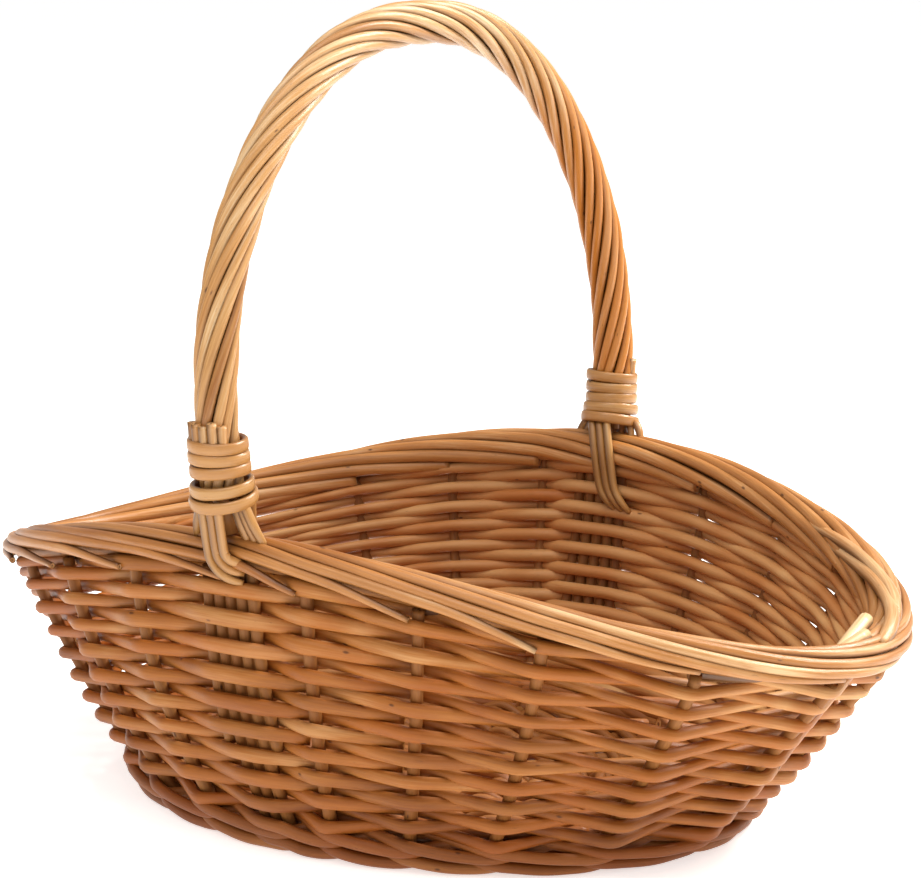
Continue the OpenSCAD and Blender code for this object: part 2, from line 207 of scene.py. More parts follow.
class RodBundle:
    # one mesh that rods are laid into; each point keeps its place along its own rod

    def __init__(self, seed):
        self.mesh = bmesh.new()
        self.place = self.mesh.verts.layers.float_vector.new("rodPlace")
        self.look = self.mesh.verts.layers.float_vector.new("rodLook")
        self.dice = random.Random(seed)
        self.rods = 0

    def cutEnd(self, ring, radius):
        rim = list(ringEdges(ring))
        face = bmesh.ops.contextual_create(self.mesh, geom=rim)["faces"][0]
        for thick, depth, mark in rodLook["cutEnd"]:
            bmesh.ops.inset_individual(self.mesh, faces=[face], thickness=thick * radius * mm,
                                       depth=depth * radius * mm)
            for vert in face.verts:
                vert[self.look] = Vector((vert[self.look].x, vert[self.look].y, mark))

    def lay(self, path, shade=None, warmth=None, sides=10, closed=False, wander=0.0, boxy=2.0,
            tone=None):
        mesh, dice = self.mesh, self.dice
        self.rods += 1
        shade = dice.gauss(0, rodLook["shadeSpread"]) if shade is None else shade
        warmth = dice.random() if warmth is None else warmth
        drift = Vector((dice.random() * rodLook["driftRange"],
                        dice.random() * rodLook["driftRange"], self.rods * rodLook["driftStep"]))
        along = self.rods * rodLook["patternStep"] + dice.random() * rodLook["patternRange"]
        count, still = len(path), rodLook["stillEnd"]
        sheet = bmesh.ops.create_grid(mesh, x_segments=count - 1, y_segments=sides, size=mm)
        verts = sheet["verts"]
        rings = [verts[i::count] for i in range(count)]
        for i, (p, ref, size) in enumerate(path):
            after = path[(i + 1) % count] if closed else path[min(i + 1, count - 1)]
            before = path[i - 1] if closed else path[max(i - 1, 0)]
            t = (after[0] - before[0]).normalized()
            if i:
                along += (p - path[i - 1][0]).length
            if wander:
                fade = min(1, i / still, (count - 1 - i) / still)
                at = drift + Vector((along * rodLook["wanderPace"], 0, 0))
                p = p + noise.noise_vector(at) * wander * fade
            at = drift + Vector((along * rodLook["swellPace"], 5, 0))
            swell = 1 + rodLook["swell"] * noise.noise(at)
            u = (ref - t * ref.dot(t)).normalized()
            v = t.cross(u)
            wide, high = size.x * swell, size.y * swell
            # the tone adds painted light and shade by place, and more of the rod's own tone and
            # warmth
            look = Vector((shade, warmth, 0)) + (tone(p) if tone else Vector())
            for k, vert in enumerate(rings[i]):
                w = 2 * math.pi * k / sides
                c, s = signedPower(math.cos(w), boxy), signedPower(math.sin(w), boxy)
                vert.co = (p + u * wide * c + v * high * s) * mm
                vert[self.place] = Vector((along, wide * c, high * s))
                vert[self.look] = look
        # closes the sheet into a tube
        bmesh.ops.weld_verts(mesh, targetmap={ring[-1]: ring[0] for ring in rings})
        rings = [ring[:-1] for ring in rings]
        if closed:
            loops = list(ringEdges(rings[0]) | ringEdges(rings[-1]))
            bmesh.ops.bridge_loops(mesh, edges=loops)
        else:
            for ring in (rings[0], rings[-1]):
                self.cutEnd(ring, min(path[0][2].x, path[0][2].y))

    def finish(self, name, material, slot, cadNodes):
        mesh = self.mesh
        bmesh.ops.recalc_face_normals(mesh, faces=mesh.faces)
        for face in mesh.faces:
            face.smooth = len(face.verts) == 4
        data = bpy.data.meshes.new(name)
        mesh.to_mesh(data)
        mesh.free()
        piece = addObject(name, data)
        data.materials.append(material)
        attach(piece, "root")
        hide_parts(*cadNodes)
        print(name, len(data.polygons), "faces")


# willow finishes: what every rod shares, and then the colours of each kind, with how dark a
# painted shade each has on its inner side

wood = {
    # scale along and across the rod, detail and roughness of each layer
    "grain": ((0.035, 1.5, 1.5), 4.0, 0.65), "fibre": ((0.12, 5.0, 5.0), 2.0, 0.6),
    "cloud": ((0.02, 0.18, 0.18), 3.0, 0.6), "fleck": ((0.16, 0.9, 0.9), 2.0, 0.6),
    "darkAt": 0.08, "middleAt": 0.5, "lightAt": 0.92, "fleckFrom": 0.74, "fleckDepth": 0.35,
    "knotCells": (0.08, 0.17, 0.17), "knotEdge": 0.13, "knotMiddle": 0.06, "knotDepth": 0.8,
    # the second and third values on the next line are the outward offsets where the painted shade
    # on a rod's inner side begins and where it is full
    "pithDepth": 1.4, "paintedShadeFrom": 1.5, "paintedShadeTo": -0.4, "glossRange": 0.22,
    "grainHeight": 0.7, "fibreHeight": 0.3, "knotHeight": 0.6,
    "bump": 0.55, "bumpDistance": 0.0004, "refraction": 1.46,
}
finishes = {
    "siding": {
        "dark": (122, 64, 16), "middle": (170, 106, 44), "light": (210, 160, 104),
        "warm": (172, 92, 24), "warmth": 0.4, "cloud": 0.75, "grain": 0.5, "spread": 0.16,
        "knot": (78, 40, 14), "cut": (196, 140, 82), "knots": 0.16, "paintedShade": 0,
        "rough": 0.46, "shine": 0.4,
    },
    "upsett": {
        "dark": (98, 50, 16), "middle": (142, 82, 32), "light": (176, 118, 62),
        "warm": (136, 66, 18), "warmth": 0.5, "cloud": 0.7, "grain": 0.5, "spread": 0.14,
        "knot": (64, 32, 12), "cut": (176, 122, 70), "knots": 0.16, "paintedShade": 0,
        "rough": 0.48, "shine": 0.35,
    },
    "border": {
        "dark": (142, 84, 30), "middle": (190, 130, 70), "light": (240, 206, 156),
        "warm": (190, 116, 44), "warmth": 0.3, "cloud": 0.65, "grain": 0.55, "spread": 0.14,
        "knot": (74, 38, 14), "cut": (206, 154, 98), "knots": 0.3, "paintedShade": 0.85,
        "rough": 0.36, "shine": 0.6,
    },
    "stakes": {
        "dark": (110, 66, 26), "middle": (146, 94, 44), "light": (174, 122, 68),
        "warm": (142, 80, 30), "warmth": 0.4, "cloud": 0.6, "grain": 0.5, "spread": 0.12,
        "knot": (70, 38, 14), "cut": (190, 140, 88), "knots": 0.2, "paintedShade": 0,
        "rough": 0.5, "shine": 0.35,
    },
    "rope": {
        "dark": (140, 84, 30), "middle": (196, 146, 88), "light": (240, 220, 180),
        "warm": (204, 124, 36), "warmth": 0.3, "cloud": 0.65, "grain": 0.6, "spread": 0.16,
        "knot": (68, 34, 12), "cut": (214, 166, 110), "knots": 0.3, "paintedShade": 0.72,
        "rough": 0.36, "shine": 0.65,
    },
    "binding": {
        "dark": (150, 96, 40), "middle": (192, 140, 78), "light": (226, 186, 128),
        "warm": (190, 118, 50), "warmth": 0.3, "cloud": 0.6, "grain": 0.5, "spread": 0.1,
        "knot": (84, 46, 18), "cut": (200, 152, 98), "knots": 0.1, "paintedShade": 0.7,
        "rough": 0.3, "shine": 0.75,
    },
    "base": {
        "dark": (112, 62, 22), "middle": (152, 94, 42), "light": (184, 128, 72),
        "warm": (150, 80, 26), "warmth": 0.4, "cloud": 0.7, "grain": 0.5, "spread": 0.16,
        "knot": (70, 36, 14), "cut": (190, 138, 84), "knots": 0.16, "paintedShade": 0,
        "rough": 0.5, "shine": 0.35,
    },
}


def colour(red, green, blue):
    # an sRGB colour as Blender's linear one
    def linear(c):
        c /= 255
        return c / 12.92 if c <= 0.04045 else ((c + 0.055) / 1.055) ** 2.4
    return (linear(red), linear(green), linear(blue), 1)


def node(tree, kind, inputs=None, **settings):
    made = tree.nodes.new(kind)
    for key, value in settings.items():
        setattr(made, key, value)
    for key, value in (inputs or {}).items():
        if isinstance(value, bpy.types.NodeSocket):
            tree.links.new(value, made.inputs[key])
        else:
            made.inputs[key].default_value = value
    return made


def calc(tree, operation, *values, clamp=False):
    return node(tree, "ShaderNodeMath", dict(enumerate(values)), operation=operation,
                use_clamp=clamp).outputs[0]


def ramped(tree, value, fromMin, fromMax, toMax=1.0):
    return node(tree, "ShaderNodeMapRange", {"Value": value, "From Min": fromMin,
                                             "From Max": fromMax, "To Max": toMax}).outputs[0]


def mixColours(tree, amount, a, b):
    return node(tree, "ShaderNodeMix", {0: amount, 6: a, 7: b}, data_type="RGBA").outputs[2]


def willow(name, finish):
    material = bpy.data.materials.new(name)
    material.use_nodes = True
    tree = material.node_tree
    tree.nodes.clear()
    place = node(tree, "ShaderNodeAttribute", attribute_name="rodPlace").outputs["Vector"]
    look = node(tree, "ShaderNodeAttribute", attribute_name="rodLook").outputs["Vector"]
    shade, warmth, mark = node(tree, "ShaderNodeSeparateXYZ", {0: look}).outputs

    def streaks(scale, detail, rough):
        at = node(tree, "ShaderNodeMapping", {"Vector": place, "Scale": scale}).outputs[0]
        return node(tree, "ShaderNodeTexNoise", {"Vector": at, "Scale": 1.0, "Detail": detail,
                                                 "Roughness": rough}).outputs[0]

    grain, fibre, cloud, fleck = (streaks(*wood[layer])
                                  for layer in ("grain", "fibre", "cloud", "fleck"))
    # the colour runs from dark to light with the clouds, the grain and the rod's shade, which
    # holds its own tone and the painted light and shade laid on by place
    level = 0.5 - 0.5 * finish["cloud"] - 0.5 * finish["grain"]
    tone = calc(tree, "MULTIPLY_ADD", cloud, finish["cloud"], level)
    tone = calc(tree, "ADD", tone, calc(tree, "MULTIPLY", grain, finish["grain"]))
    tone = calc(tree, "ADD", tone, calc(tree, "MULTIPLY", shade, finish["spread"]), clamp=True)
    ramp = node(tree, "ShaderNodeValToRGB", {0: tone})
    marks = ramp.color_ramp.elements
    marks[0].position, marks[0].color = wood["darkAt"], colour(*finish["dark"])
    marks[1].position, marks[1].color = wood["lightAt"], colour(*finish["light"])
    marks.new(wood["middleAt"]).color = colour(*finish["middle"])
    warm = mixColours(tree, calc(tree, "MULTIPLY", warmth, finish["warmth"]),
                      ramp.outputs[0], colour(*finish["warm"]))
    freckle = calc(tree, "MULTIPLY", calc(tree, "GREATER_THAN", fleck, wood["fleckFrom"]),
                   wood["fleckDepth"])
    # the knot colour serves the flecks, the knots, the pith and the painted shade on the inner
    # side
    dark = colour(*finish["knot"])
    flecked = mixColours(tree, freckle, warm, dark)
    # small knots, only some of the cells have one
    at = node(tree, "ShaderNodeMapping", {"Vector": place, "Scale": wood["knotCells"]}).outputs[0]
    cells = node(tree, "ShaderNodeTexVoronoi", {"Vector": at, "Scale": 1.0}).outputs
    chance = node(tree, "ShaderNodeSeparateXYZ", {0: cells["Color"]}).outputs[0]
    spot = ramped(tree, cells["Distance"], wood["knotEdge"], wood["knotMiddle"])
    knot = calc(tree, "MULTIPLY", spot,
                calc(tree, "GREATER_THAN", chance, 1 - finish["knots"]))
    depth = calc(tree, "MAXIMUM", calc(tree, "MULTIPLY", knot, wood["knotDepth"]),
                 calc(tree, "MULTIPLY", mark, wood["pithDepth"], clamp=True))
    knotted = mixColours(tree, depth, flecked, dark)
    # painted shade: darker on its inner side, where it lies against the next rods and shade falls
    # between them
    outward = node(tree, "ShaderNodeSeparateXYZ", {0: place}).outputs[1]
    inside = ramped(tree, outward, wood["paintedShadeFrom"], wood["paintedShadeTo"], finish["paintedShade"])
    shaded = mixColours(tree, inside, knotted, dark)
    cut = mixColours(tree, calc(tree, "MULTIPLY", mark, -1.0, clamp=True), shaded,
                     colour(*finish["cut"]))
    gloss = calc(tree, "MULTIPLY_ADD", grain, wood["glossRange"],
                 finish["rough"] - wood["glossRange"] / 2)
    height = calc(tree, "ADD", calc(tree, "MULTIPLY", grain, wood["grainHeight"]),
                  calc(tree, "MULTIPLY", fibre, wood["fibreHeight"]))
    height = calc(tree, "ADD", height, calc(tree, "MULTIPLY", knot, wood["knotHeight"]))
    bump = node(tree, "ShaderNodeBump", {"Strength": wood["bump"],
                                         "Distance": wood["bumpDistance"], "Height": height})
    shader = node(tree, "ShaderNodeBsdfPrincipled",
                  {"Base Color": cut, "Roughness": gloss, "Normal": bump.outputs[0]})
    shader.inputs["IOR"].default_value = wood["refraction"]
    shader.inputs["Specular IOR Level"].default_value = finish["shine"]
    node(tree, "ShaderNodeOutputMaterial", {0: shader.outputs[0]})
    return material


willows = {name: willow(name + "Willow", finish) for name, finish in finishes.items()}
print("finishes ready")


# base: crossed sticks, and oval rows woven round the legs that leave the middle

baseRods = {"stickRadius": 3.0, "weaverWide": 2.5, "weaverHigh": 2.35, "rings": 16,
            "pitch": 5.5, "slathX": 12, "slathY": 15, "slathEnd": 40, "slopeX": 8,
            "crossCount": 7, "longCount": 4, "longPitch": 6.3, "raise": 6.3,
            "leftStakes": (18, 17, 16, 15), "rightStakes": (4, 5, 6, 7),
            "stickShift": 6.85, "stickOut": 0.96, "edgeRoom": 10.2, "rowPlay": 0.2,
            "squareness": 1.3, "bend": 5, "gap": 6, "wander": 0.25, "stickBend": 4, "stickGap": 6,
            "stickWander": 0.3, "legReach": 0.3, "legStart": 0.6, "halvings": 30}


def stickEnd(i, start):
    a = stakeAngles[i]
    p = basePoint(a)
    along = wallAround(a, 0)
    side = math.copysign(1, p.x * start.y - p.y * start.x)
    out = baseRods["stickOut"]
    shift = Vector((along.x, along.y, 0)) * side * baseRods["stickShift"]
    return Vector((p.x * out, p.y * out, stickZ)) + shift


def crossPath(k):
    x, y = baseRods["slathX"] * k, baseRods["slathY"]
    near, far = Vector((x, -y, stickZ)), Vector((x, y, stickZ))
    return [stickEnd(k % stakeCount, near), near, far, stickEnd(halfCount - k, far)]


def longPath(k):
    # over the cross sticks in the middle, and down to their level beyond them
    y = (k - (baseRods["longCount"] - 1) / 2) * baseRods["longPitch"]
    x, raised = baseRods["slathEnd"], stickZ + baseRods["raise"]
    left = Vector((-x - baseRods["slopeX"], y, stickZ))
    right = Vector((x + baseRods["slopeX"], y, stickZ))
    return [stickEnd(baseRods["leftStakes"][k], left), left, Vector((-x, y, raised)),
            Vector((x, y, raised)), right, stickEnd(baseRods["rightStakes"][k], right)]


def laySticks(name, paths, cadNode):
    rods = RodBundle(name)
    for path in paths:
        stops = [stop(p, up, baseRods["stickRadius"]) for p in path]
        path = bendPath(stops, baseRods["stickBend"], baseRods["stickGap"])
        rods.lay(path, wander=baseRods["stickWander"])
    rods.finish(name, willows["base"], "base_sticks", [cadNode])


crossHalf = baseRods["crossCount"] // 2
crossPaths = [crossPath(k) for k in range(-crossHalf, crossHalf + 1)]
longPaths = [longPath(k) for k in range(baseRods["longCount"])]
laySticks("baseCrossSticks", crossPaths, "base_cross_sticks")
laySticks("baseLongSticks", longPaths, "base_long_sticks")

baseLegs = [path[:2][::-1] for path in crossPaths] + [path[2:] for path in crossPaths]
baseLegs += [path[:2][::-1] for path in longPaths] + [path[4:] for path in longPaths]
baseLegs.sort(key=lambda leg: math.atan2(leg[1].x, -leg[1].y))


def ovalCrossing(leg, a, b, power):
    # halves the leg, drawn out a little, until it finds where it meets an oval row
    start, end = leg[0].copy(), leg[1] + (leg[1] - leg[0]) * baseRods["legReach"]
    start.xy *= baseRods["legStart"]
    for _ in range(baseRods["halvings"]):
        middle = (start + end) / 2
        inside = abs(middle.x / a) ** power + abs(middle.y / b) ** power < 1
        start, end = (middle, end) if inside else (start, middle)
    return start


def baseStops(k):
    # the rows are squarer towards the middle
    b = baseB - baseRods["edgeRoom"] - baseRods["pitch"] * k
    a = b + baseA - baseB
    power = 2 + baseRods["squareness"] * (k / (baseRods["rings"] - 1)) ** 2
    rise = baseRods["stickRadius"] + baseRods["weaverHigh"] + baseRods["rowPlay"]
    stops = []
    for i, leg in enumerate(baseLegs):
        p = ovalCrossing(leg, a, b, power)
        side = 1 if (i + k) % 2 == 0 else -1
        p.z = stickZ + side * rise
        out = Vector((p.x, p.y, 0)).normalized()
        stops.append(stop(p, out, baseRods["weaverWide"], baseRods["weaverHigh"]))
    return stops


def layBaseWeave(name):
    rods = RodBundle(name)
    for k in range(baseRods["rings"]):
        path = bendPath(baseStops(k), baseRods["bend"], baseRods["gap"], closed=True, steps=4)
        rods.lay(path, sides=8, closed=True, wander=baseRods["wander"])
    rods.finish(name, willows["base"], "base_weave", ["base_weave_upper", "base_weave_lower"])


layBaseWeave("baseWeave")
print("base ready")


# stakes, and the liners beside each foot of the handle

stakes = {"radius": 2.8, "buttSize": 1.03, "thinning": 0.012, "topShare": 0.96, "wallStops": 8,
          "perQuarter": 5, "inBase": 34, "wander": 0.25,
          "linerRadius": 2.7, "linerPitch": 5.7, "linerShift": -2.5, "liners": 5,
          "linerLow": 0.02, "linerStops": 6, "shortRow": 7, "shortDrop": 0.9,
          "linerWander": 0.3, "bend": 5, "gap": 4}


def stakeTop(a):
    return rimPoint(a) - up * (basket["coreRadius"] + 2 * basket["play"])


def linerShift(atFront):
    return stakes["linerShift"] if atFront else -stakes["linerShift"]


def layStakes(name, first, cadNode):
    rods = RodBundle(name)
    parts = stakes["wallStops"]
    for i in range(first, first + stakes["perQuarter"]):
        a = stakeAngles[i]
        p = basePoint(a)
        inward = -Vector((p.x, p.y, 0)).normalized()
        points = [p + inward * stakes["inBase"]]
        points += [wallPoint(a, s / parts * stakes["topShare"]) for s in range(parts + 1)]
        points.append(stakeTop(a))
        stops = [stop(q, wallAround(a, 0.5),
                      stakes["radius"] * (stakes["buttSize"] - stakes["thinning"] * k))
                 for k, q in enumerate(points)]
        rods.lay(bendPath(stops, stakes["bend"], stakes["gap"]), wander=stakes["wander"])
    rods.finish(name, willows["stakes"], "stakes", [cadNode])


def layLiners(name, turn, cadNode):
    # the outer two are short, and start at the row where the group widens
    rods = RodBundle(name)
    half, parts = stakes["liners"] // 2, stakes["linerStops"]
    for k in range(-half, half + 1):
        low = stakes["linerLow"]
        if abs(k) == half:
            low = share(basket["upsettRows"] + stakes["shortRow"] - stakes["shortDrop"], 0)
        x = linerShift(turn == 0) + k * stakes["linerPitch"]
        points = []
        for j in range(parts + 1):
            s = mix(low, stakes["topShare"], j / parts)
            points.append(wallPoint(angleForX(x, s, turn), s))
        points.append(stakeTop(angleForX(x, 1, turn)))
        radius = stakes["linerRadius"] * rods.dice.uniform(0.96, 1.04)
        stops = [stop(p, lengthways, radius) for p in points]
        rods.lay(bendPath(stops, stakes["bend"], stakes["gap"]), wander=stakes["linerWander"])
    rods.finish(name, willows["stakes"], "handle_liners", [cadNode])


layStakes("stakesFrontRight", 1, "stakes_front_right")
layStakes("stakesBackRight", 6, "stakes_back_right")
layStakes("stakesBackLeft", 12, "stakes_back_left")
layStakes("stakesFrontLeft", 17, "stakes_front_left")
layLiners("handleLinersFront", 0, "handle_liners_front")
layLiners("handleLinersBack", 180, "handle_liners_back")
print("stakes ready")


# siding: each row is one rod, in front of one stake and behind the next

siding = {
    "rows": 19, "shortAfter": (4, 9, 14), "shortFrom": 0.12, "shortSize": 0.3,
    "thick": 2.7, "thickBack": 3.7, "packed": 1.2, "packedBack": 1.4,
    "waist": 0.9, "waistBack": 1.12, "closeBack": 0.66, "closeRight": 0.48,
    "bend": 4.5, "gap": 4, "taper": 0.14, "wander": 0.35,
    "lift": 3.6, "liftEnds": 3.6, "liftBack": 3, "liftFrom": 6, "liftTo": 20,
    "levelRise": 0.18, "levelTurn": 35, "nearSide": 0.3, "buttOut": 1.5, "tipShort": 6,
    # painted light and shade: how much paler, darker or warmer it is in places as the light falls,
    # and how its own tone varies from rod to rod
    "rightEndHighlight": 2.6, "rightFrontShade": 0.7, "behind": 3.4, "leftFrontShade": 2.0, "low": 0.9,
    "spread": 1.5, "warmSpread": 0.9, "leftShadeWarmth": 0.8, "backLightWarmth": 0.6,
    "spotAlong": 0.018, "spotUp": 0.4,
}


def backShare(a):
    return smooth(0.05, 0.55, -cosDeg(a))


def denseShare(a):
    # where the rods lie close against the stakes, behind and at the left end
    return backShare(a) if sinDeg(a) > 0 else smooth(-0.45, 0, -cosDeg(a))


def levelShare(a, row):
    # rods cross the stakes level, but low down and at the right end they dip outside
    if cosDeg(a) > 0:
        return smooth(-0.15, 0.35, cosDeg(a + 48)) * smooth(0, 4, row)
    return smooth(150, 185, a % 360) * smooth(0, 4, row)


def rowOrder(row):
    # count of the rows behind, where pairs of short rows lie between the long ones;
    # a short row has a part of one or two thirds
    whole = math.floor(row)
    return whole + round(3 * (row - whole)) + 2 * sum(at < whole for at in siding["shortAfter"])


def rowAngles(band):
    # one station at each stake, and two round each group of liners
    s = share(band, 0)
    wide = band > basket["upsettRows"] + stakes["shortRow"] - 1
    w = (2 if wide else 1) * stakes["linerPitch"]
    found = []
    for i, a in enumerate(stakeAngles):
        if i % halfCount:
            found.append((a, i))
        else:
            found += [(angleForX(linerShift(i == 0) + e, s, a), i) for e in (-w, w)]
    return found


def sidingTone(p):
    # painted highlight pale at the right end, painted light paler and warmer on the back wall,
    # painted shade deeper and warmer at the left end of the near side, darker at the right front
    # and low down, and the rods' own tone and warmth varying at random
    near, left, behind = smooth(40, -40, p.y), smooth(-60, -160, p.x), smooth(20, 80, p.y)
    rightEndHighlight = siding["rightEndHighlight"] * smooth(150, 210, p.x)
    shade = ((rightEndHighlight - siding["rightFrontShade"] * smooth(20, 90, p.x)) * near
             + siding["behind"] * behind - siding["leftFrontShade"] * left * near
             - siding["low"] * smooth(70, 10, p.z))
    spot = Vector((p.x * siding["spotAlong"], p.y * siding["spotAlong"], p.z * siding["spotUp"]))
    shade += siding["spread"] * noise.noise(spot)
    warmth = siding["warmSpread"] * noise.noise(spot + Vector((31, 7, 0)))
    warmth += siding["leftShadeWarmth"] * left * near + siding["backLightWarmth"] * behind
    return Vector((shade, warmth, 0))


def rowStops(row):
    plain = basket["upsettRows"] + row - 0.5
    order = rowOrder(row)
    crowd = siding["rows"] / (siding["rows"] + 2 * len(siding["shortAfter"]))
    angles = rowAngles(plain)
    stops = []
    for n, (a, i) in enumerate(angles):
        side = 1 if (i + order) % 2 == 0 else -1
        behind, dense = backShare(a), denseShare(a)
        band = mix(plain, basket["upsettRows"] + (order - 0.5) * crowd, behind)
        before, after = angles[n - 1][0], angles[(n + 1) % len(angles)][0]
        high = min(bandHeight(band, before, a), bandHeight(band, a, after))
        high *= mix(1 if row == math.floor(row) else siding["shortSize"], crowd, behind)
        out = wallNormal(a, share(band, a))
        flat = Vector((out.x, out.y, 0)).normalized()
        flat.z = siding["levelRise"] * cosDeg(a - siding["levelTurn"])
        p = bandPoint(band, a)
        close = mix(siding["closeBack"], siding["closeRight"], smooth(175, 150, a))
        gap = basket["stakeGap"] * mix(1, close, dense)
        p += out.lerp(flat, levelShare(a, row)) * side * gap
        # the last rows are pushed up against the border
        lift = siding["lift"] + siding["liftEnds"] * sinDeg(a) ** 2 + siding["liftBack"] * behind
        p.z += lift * smooth(siding["liftFrom"], siding["liftTo"], row)
        packed = mix(siding["packed"], siding["packedBack"], smooth(-0.8, 0.3, -cosDeg(a)))
        thick = mix(siding["thick"], siding["thickBack"], dense)
        stops.append((stop(p, out, thick, high / 2 * packed), side, a))
    return stops


def waisted(marked):
    # a rod is a little slimmer where it passes between two stakes
    stops = [marked[0][0]]
    for before, here in zip(marked, marked[1:]):
        if before[1] != here[1]:
            middle = blendStops(before[0], here[0], 0.5)
            slim = mix(siding["waist"], siding["waistBack"], smooth(-0.3, 0.3, -cosDeg(here[2])))
            stops.append(middle[:2] + [middle[2] * slim])
        stops.append(here[0])
    return stops


def tapered(stops, scale, taper):
    count = len(stops)
    return [[p, ref, size * scale * (1 + taper * (0.5 - n / count))]
            for n, (p, ref, size) in enumerate(stops)]


def laySidingRod(rods, stops):
    rods.lay(bendPath(stops, siding["bend"], siding["gap"], steps=4), wander=siding["wander"],
             tone=sidingTone)


def laySidingRow(row):
    rods = RodBundle("siding" + str(row))
    marked = rowStops(row)
    # the butt leans inside against a stake of the near side, and the tip ends beside it
    inside = [n for n, (s, side, a) in enumerate(marked)
              if side < 0 and cosDeg(a) > siding["nearSide"]]
    first = rods.dice.choice(inside)
    ordered = waisted(marked[first:] + marked[:first + 1])
    begin, end = ordered[0], ordered[-1]
    back = (ordered[1][0] - begin[0]).normalized()
    ordered[0] = [begin[0] - back * siding["buttOut"]] + begin[1:]
    ahead = (end[0] - ordered[-2][0]).normalized()
    ordered[-1] = [end[0] - ahead * siding["tipShort"]] + end[1:]
    laySidingRod(rods, tapered(ordered, rods.dice.uniform(0.97, 1.05), siding["taper"]))
    if row in siding["shortAfter"]:
        for part in (1, 2):
            laySidingRod(rods, waisted([mark for mark in rowStops(row + part / 3)
                                        if backShare(mark[2]) > siding["shortFrom"]]))
    rods.finish("sidingRow%02d" % row, willows["siding"], "siding", ["weave_row_%d" % row])


for row in range(1, siding["rows"] + 1):
    laySidingRow(row)
print("siding ready")


# upsett: three rods twisted round the foot of the side, each behind one stake and
# outside the next two

upsett = {"rounds": 2, "rods": 3, "thick": 2.6, "packed": 0.98, "low": 0.24, "rise": 1.42,
          "inside": 0.1, "first": 0.38, "second": -0.38, "bulge": 0.6, "lowest": 3.2,
          "reach": 8, "bend": 7, "gap": 4.5, "wander": 0.3,
          "inner": (-0.1, 0.7, 1.5, 2.2), "innerOff": -4.2, "innerStep": 10}


def upsettPoint(a, band, off):
    out = wallNormal(a, share(band, a))
    high = upsett["packed"] * bandHeight(band, a - upsett["reach"], a + upsett["reach"]) / 2
    p = bandPoint(band, a) + out * off
    p.z = max(p.z, upsett["lowest"])  # it stands on the floor
    return stop(p, out, upsett["thick"], high)


def upsettStops(turn, m):
    # slopes down from the first of the two stakes to the second
    middle = upsett["low"] + upsett["rise"] * turn
    gap = basket["stakeGap"]
    stops = []
    first = halfCount + m
    for i in range(first, first + stakeCount + 1):
        q = (i - m) % upsett["rods"] if first < i < first + stakeCount else 0
        around = [angleAt(i)]
        if i % halfCount == 0:
            side = linerShift(i % stakeCount == 0)
            around = [angleForX(side + e, 0, 180 * (i // halfCount))
                      for e in (-stakes["linerPitch"], stakes["linerPitch"])]
        band = middle + (upsett["inside"], upsett["first"], upsett["second"])[q]
        stops += [upsettPoint(a, band, -gap if q == 0 else gap) for a in around]
        if q == 1 and i < first + stakeCount:
            band = middle + (upsett["first"] + upsett["second"]) / 2
            stops.append(upsettPoint(angleAt(i + 0.5), band, gap + upsett["bulge"]))
    return stops


def layUpsett(name):
    rods = RodBundle(name)
    for turn in range(upsett["rounds"]):
        for m in range(upsett["rods"]):
            path = bendPath(upsettStops(turn, m), upsett["bend"], upsett["gap"])
            rods.lay(path, wander=upsett["wander"])
    # plain rounds fill it from inside
    for band in upsett["inner"]:
        around = [upsettPoint(a, band, upsett["innerOff"])
                  for a in range(0, 360, upsett["innerStep"])]
        rods.lay(bendPath(around, 6, 6, closed=True, steps=2), closed=True)
    rods.finish(name, willows["upsett"], "upsett", ["upsett_row_1", "upsett_row_2"])


layUpsett("upsett")
print("upsett ready")


# border: rods rolled round a core; the phase is 0 on top of it and 90 outside

border = {
    "rodRadius": 2.6, "ring": 7.5, "phase": 114, "startPhase": 130, "span": 7, "step": 0.25,
    "taper": 0.5, "bend": 6, "gap": 4, "wander": 0.5,
    "tipFrom": 0.9, "tipPhase": 20, "tipOut": 3.6, "tipTaper": 0.35,
    "tuckFrom": 0.6, "tuckTo": 0.9, "tuckIn": 0.8, "tuckRoll": 1.3,
    # from and to angle, ring and phase, and the radius, of the rods that close it
    "butts": ((83, 99, 6, 14, -66, -34, 3.3), (80, 91, 5, 11, -40, -6, 2.8)),
    "tips": ((142, 92, 5, 11, -80, 30, 3.3), (147, 101, 5, 11.5, -60, 18, 3)),
    "buttShade": 2.4, "tipShade": 1, "tipWarmth": 0.2,
    # painted highlight and shade: how much paler or darker it is in places as the light falls,
    # with its own tone overall and from rod to rod
    "rightEndHighlight": 1.6, "nearSide": 0.9, "all": 0.6, "spread": 1.2, "rightHighlightCool": 0.6,
}


def borderPoint(a, r, phase):
    along = (rimPoint(a + angleStep) - rimPoint(a - angleStep)).normalized()
    out = along.cross(up).normalized()
    rise = out.cross(along)
    return rimPoint(a) + (out * sinDeg(phase) + rise * cosDeg(phase)) * r


def borderTone(p):
    # painted highlight, paler towards the right end of the near side and cooler at the right end;
    # painted shade, darker on the rest of the near side; and the rods' own tone, a little darker
    # overall and varying at random
    right = smooth(30, 150, p.x)
    near = smooth(60, -20, p.y)
    shade = (border["rightEndHighlight"] * right - border["nearSide"]) * near - border["all"]
    shade += border["spread"] * noise.noise(Vector((p.x * 0.02, p.y * 0.02, p.z * 0.2)))
    return Vector((shade, -border["rightHighlightCool"] * right, 0))


